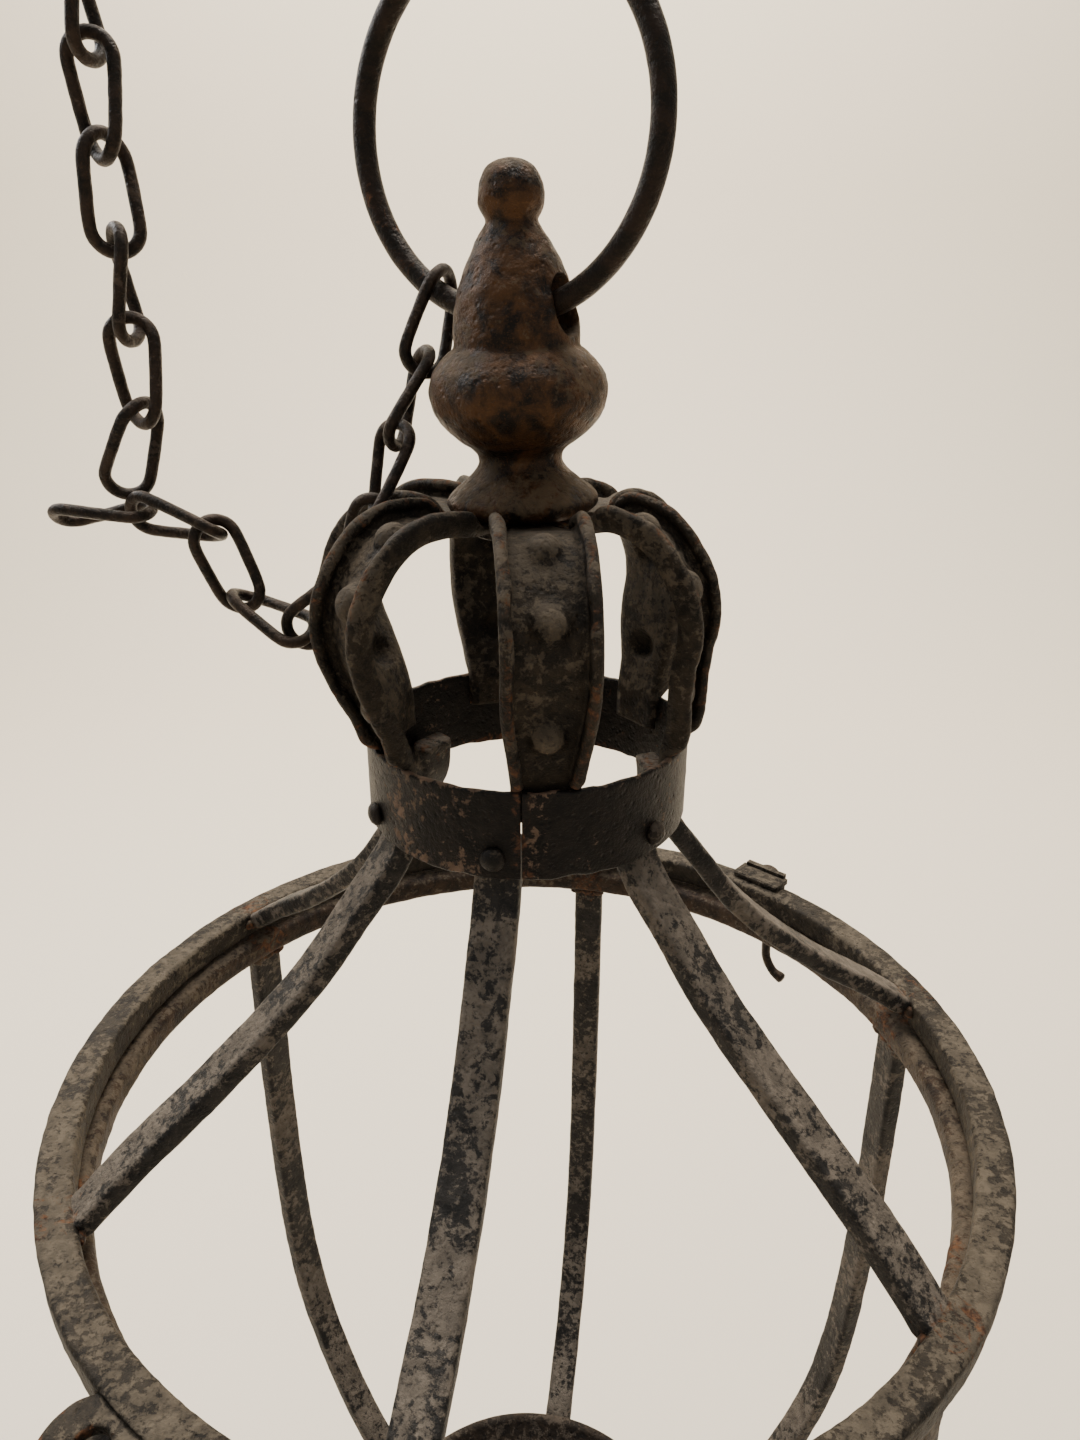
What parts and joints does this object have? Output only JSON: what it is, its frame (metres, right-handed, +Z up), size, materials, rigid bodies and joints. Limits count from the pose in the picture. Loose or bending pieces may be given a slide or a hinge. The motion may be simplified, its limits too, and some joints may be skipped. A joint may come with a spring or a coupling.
{
  "type": "hanging candle lantern",
  "caption": "Round iron cage lantern that hangs from a ring through its finial, with a crown of pressed straps, a hinged basket and a candle pan.",
  "frame": {"origin": "the point where the lantern hangs: the highest point on the inside of the carrying ring's wire", "axes": "+Z up along the line the lantern hangs by, -Y the front, +X to the right seen from the front"},
  "size_m": [0.1996, 0.1996, 0.4428],
  "materials": {
    "finial_iron": "turned iron, brown patina with charcoal patches and orange rust, half gloss",
    "ring_wire": "round iron wire, near-black brown, worn smooth",
    "strap_sheet": "pressed iron sheet, dusty brown-grey over charcoal, rusty rims",
    "collar_sheet": "thin rolled iron sheet, near-black with tan flaking",
    "flat_bars": "forged flat bar, grey-tan dust over charcoal, rust at the welds",
    "cage_rings": "forged ring, dusty olive grey, rust in the joints",
    "pan_sheet": "pressed iron dish, dark brown, dusty rim",
    "fasteners": "dark iron, lightly rusted",
    "chain_wire": "twisted wire links, dark brown"
  },
  "bodies": {
    "carrying_ring": {"carrying_ring": "ring_wire"},
    "dome": {"finial": "finial_iron", "finial_bolt": "fasteners", "bolt_washer": "fasteners", "bolt_nut": "fasteners", "crown_strap_1": "strap_sheet", "crown_strap_2": "strap_sheet", "crown_strap_3": "strap_sheet", "crown_strap_4": "strap_sheet", "crown_strap_5": "strap_sheet", "crown_strap_6": "strap_sheet", "collar": "collar_sheet", "collar_rivet_1": "fasteners", "collar_rivet_2": "fasteners", "collar_rivet_3": "fasteners", "collar_rivet_4": "fasteners", "collar_rivet_5": "fasteners", "collar_rivet_6": "fasteners", "upper_bar_1": "flat_bars", "upper_bar_2": "flat_bars", "upper_bar_3": "flat_bars", "upper_bar_4": "flat_bars", "upper_bar_5": "flat_bars", "upper_bar_6": "flat_bars", "upper_ring": "cage_rings", "hinge_ear_upper": "cage_rings", "hinge_loop": "fasteners", "latch_bracket": "cage_rings", "latch_rivet": "fasteners"},
    "basket": {"lower_ring": "cage_rings", "lower_bar_1": "flat_bars", "lower_bar_2": "flat_bars", "lower_bar_3": "flat_bars", "lower_bar_4": "flat_bars", "lower_bar_5": "flat_bars", "lower_bar_6": "flat_bars", "candle_pan": "pan_sheet", "hinge_ear_lower": "cage_rings", "latch_stud": "fasteners"},
    "latch_hook": {"latch_hook": "chain_wire"},
    "chain_drop": {"chain_link_01": "chain_wire", "chain_link_02": "chain_wire", "chain_link_03": "chain_wire"},
    "chain_crossing": {"chain_link_04": "chain_wire", "chain_link_05": "chain_wire", "chain_link_06": "chain_wire"},
    "chain_lead": {"chain_link_07": "chain_wire", "chain_link_08": "chain_wire"},
    "chain_slack_link": {"chain_link_09": "chain_wire"},
    "chain_riser": {"chain_link_10": "chain_wire", "chain_link_11": "chain_wire", "chain_link_12": "chain_wire", "chain_link_13": "chain_wire", "chain_link_14": "chain_wire", "chain_link_15": "chain_wire", "chain_hook": "chain_wire"}
  },
  "joints": [
    {"name": "lantern_swing", "type": "hinge", "parent": "carrying_ring", "child": "dome", "pos_m": [0, 0, -0.0502], "axis": [0.866, -0.5, 0], "range_deg": [-20, 20]},
    {"name": "basket_hinge", "type": "hinge", "parent": "dome", "child": "basket", "pos_m": [-0.0646, -0.08755, -0.2107], "axis": [-0.788, 0.6157, 0], "range_deg": [0, 100]},
    {"name": "latch_swing", "type": "hinge", "parent": "dome", "child": "latch_hook", "pos_m": [0.07418, 0.07548, -0.2053], "axis": [0.682, 0.7314, 0], "range_deg": [0, 70]},
    {"name": "chain_drop_swing", "type": "hinge", "parent": "carrying_ring", "child": "chain_drop", "pos_m": [-0.0104, 0.0066, -0.0485], "axis": [0.866, -0.5, 0], "range_deg": [-20, 20]},
    {"name": "chain_crossing_swing", "type": "hinge", "parent": "chain_drop", "child": "chain_crossing", "pos_m": [-0.0225, -0.0029, -0.0831], "axis": [0, 1, 0], "range_deg": [-4, 4]},
    {"name": "chain_lead_swing", "type": "hinge", "parent": "chain_crossing", "child": "chain_lead", "pos_m": [-0.0476, -0.0003, -0.0997], "axis": [0, 1, 0], "range_deg": [-5, 5]},
    {"name": "slack_link_swing", "type": "hinge", "parent": "chain_lead", "child": "chain_slack_link", "pos_m": [-0.0647, 0.0013, -0.0844], "axis": [0, 1, 0], "range_deg": [-5, 5]},
    {"name": "chain_riser_swing", "type": "hinge", "parent": "chain_slack_link", "child": "chain_riser", "pos_m": [-0.0665, 0.0011, -0.0795], "axis": [0, 1, 0], "range_deg": [-6, 6]}
  ],
  "couplings": [
    {"joint": "chain_drop_swing", "follows": "lantern_swing", "ratio": 1}
  ]
}
